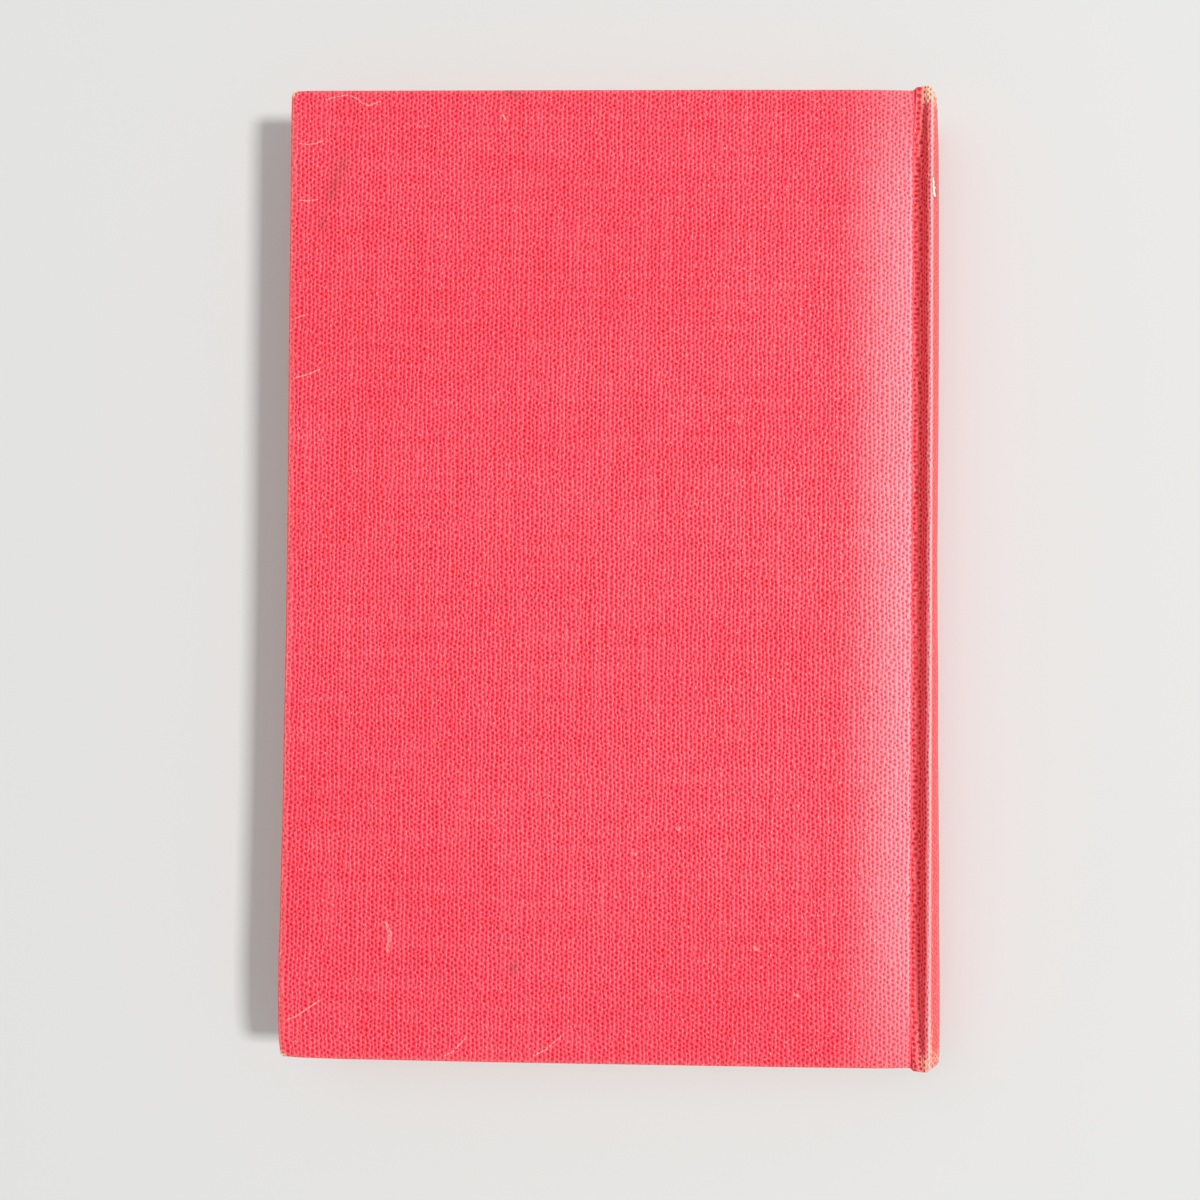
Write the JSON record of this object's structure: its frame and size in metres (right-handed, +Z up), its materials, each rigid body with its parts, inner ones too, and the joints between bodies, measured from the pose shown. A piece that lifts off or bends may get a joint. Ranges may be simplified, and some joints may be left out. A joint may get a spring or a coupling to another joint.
{
  "type": "hardback book",
  "caption": "Small clothbound hardback book with a rounded spine, grooved joints and covers that open.",
  "frame": {"origin": "middle of the underside, which is the outer face of the front cover", "axes": "+X from the fore-edge to the spine, +Y from the tail to the head, +Z up through the book's thickness, from the front cover to the back cover"},
  "size_m": [0.129, 0.1912, 0.014],
  "materials": {
    "cover_cloth": "matte",
    "greyboard": "matte",
    "endpaper": "matte",
    "pages": "matte",
    "gauze": "matte",
    "spine_card": "matte",
    "lining": "matte",
    "band": "matte"
  },
  "bodies": {
    "block": {"text_block": "pages", "spine_mull": "gauze", "spine_lining_paper": "lining", "spine_inlay": "spine_card", "spine_cloth": "cover_cloth", "head_band": "band", "tail_band": "band", "front_flyleaf": "endpaper", "back_flyleaf": "endpaper"},
    "front_cover": {"front_board": "greyboard", "front_cover_cloth": "cover_cloth", "front_mull_flange": "gauze", "front_pastedown": "endpaper"},
    "back_cover": {"back_board": "greyboard", "back_cover_cloth": "cover_cloth", "back_mull_flange": "gauze", "back_pastedown": "endpaper"}
  },
  "joints": [
    {"name": "back_cover_hinge", "type": "hinge", "parent": "block", "child": "back_cover", "pos_m": [0.06095, 0, 0.01247], "axis": [0, 1, 0], "range_deg": [0, 178]},
    {"name": "front_cover_hinge", "type": "hinge", "parent": "block", "child": "front_cover", "pos_m": [0.06095, 0, 0.00153], "axis": [0, -1, 0], "range_deg": [0, 178]}
  ]
}
